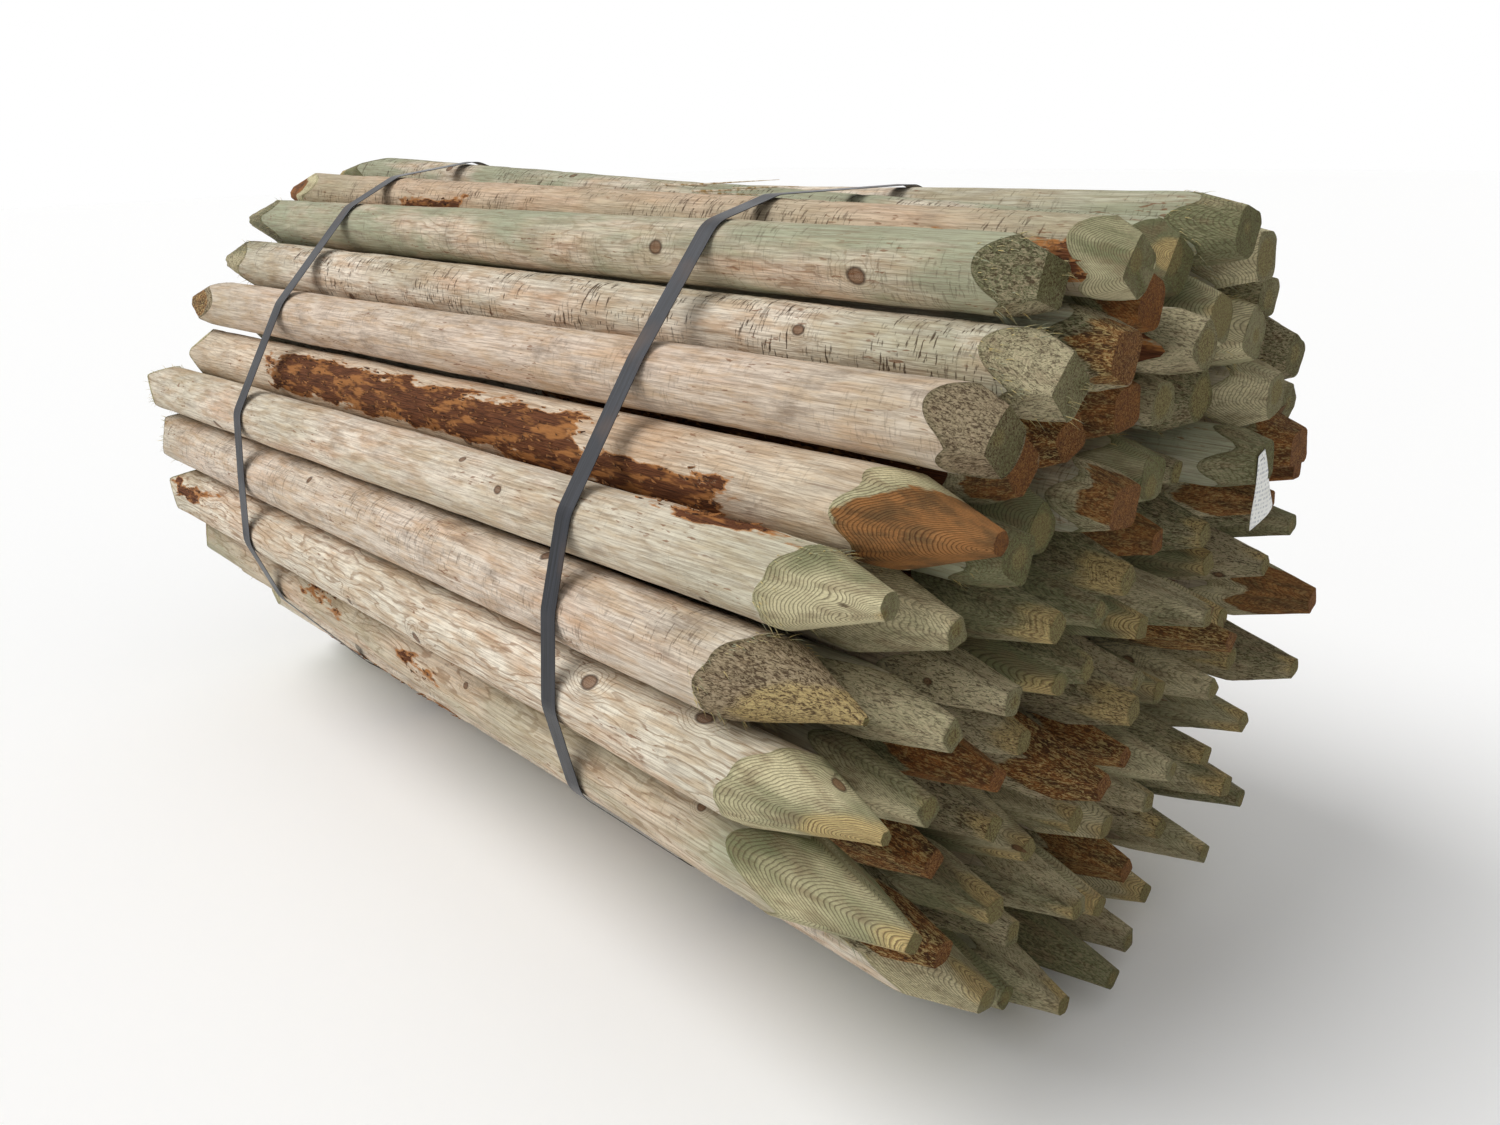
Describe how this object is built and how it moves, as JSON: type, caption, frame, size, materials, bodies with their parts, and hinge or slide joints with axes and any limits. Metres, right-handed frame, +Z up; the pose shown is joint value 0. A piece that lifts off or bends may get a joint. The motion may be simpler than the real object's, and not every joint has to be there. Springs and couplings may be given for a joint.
{
  "type": "bundle of treated posts",
  "caption": "Round bundle of pressure-treated wooden fence posts with sawn points and bevelled tops, drawn together by two flat steel straps and labelled at one end.",
  "frame": {"origin": "on the ground, under the middle of the bundle's box", "axes": "+X along the posts to the right-hand ends, +Y away from the camera side, +Z up"},
  "size_m": [2.2218, 1.1914, 1.198],
  "materials": {
    "treated_wood": "peeled round softwood, green-tinted by the treatment, with rough sawn ends",
    "strapping": "blued steel band, lightly scratched",
    "seal": "dark waxed steel",
    "tag": "white weatherproof label"
  },
  "bodies": {
    "root": {"posts_row_01": "treated_wood", "posts_row_02": "treated_wood", "posts_row_03": "treated_wood", "posts_row_04": "treated_wood", "posts_row_05": "treated_wood", "posts_row_06": "treated_wood", "posts_row_07": "treated_wood", "posts_row_08": "treated_wood", "posts_row_09": "treated_wood", "posts_row_10": "treated_wood", "posts_row_11": "treated_wood", "posts_row_12": "treated_wood", "posts_row_13": "treated_wood", "strap_left": "strapping", "strap_right": "strapping", "strap_seal_left": "seal", "strap_seal_right": "seal", "end_tag": "tag"}
  },
  "joints": []
}
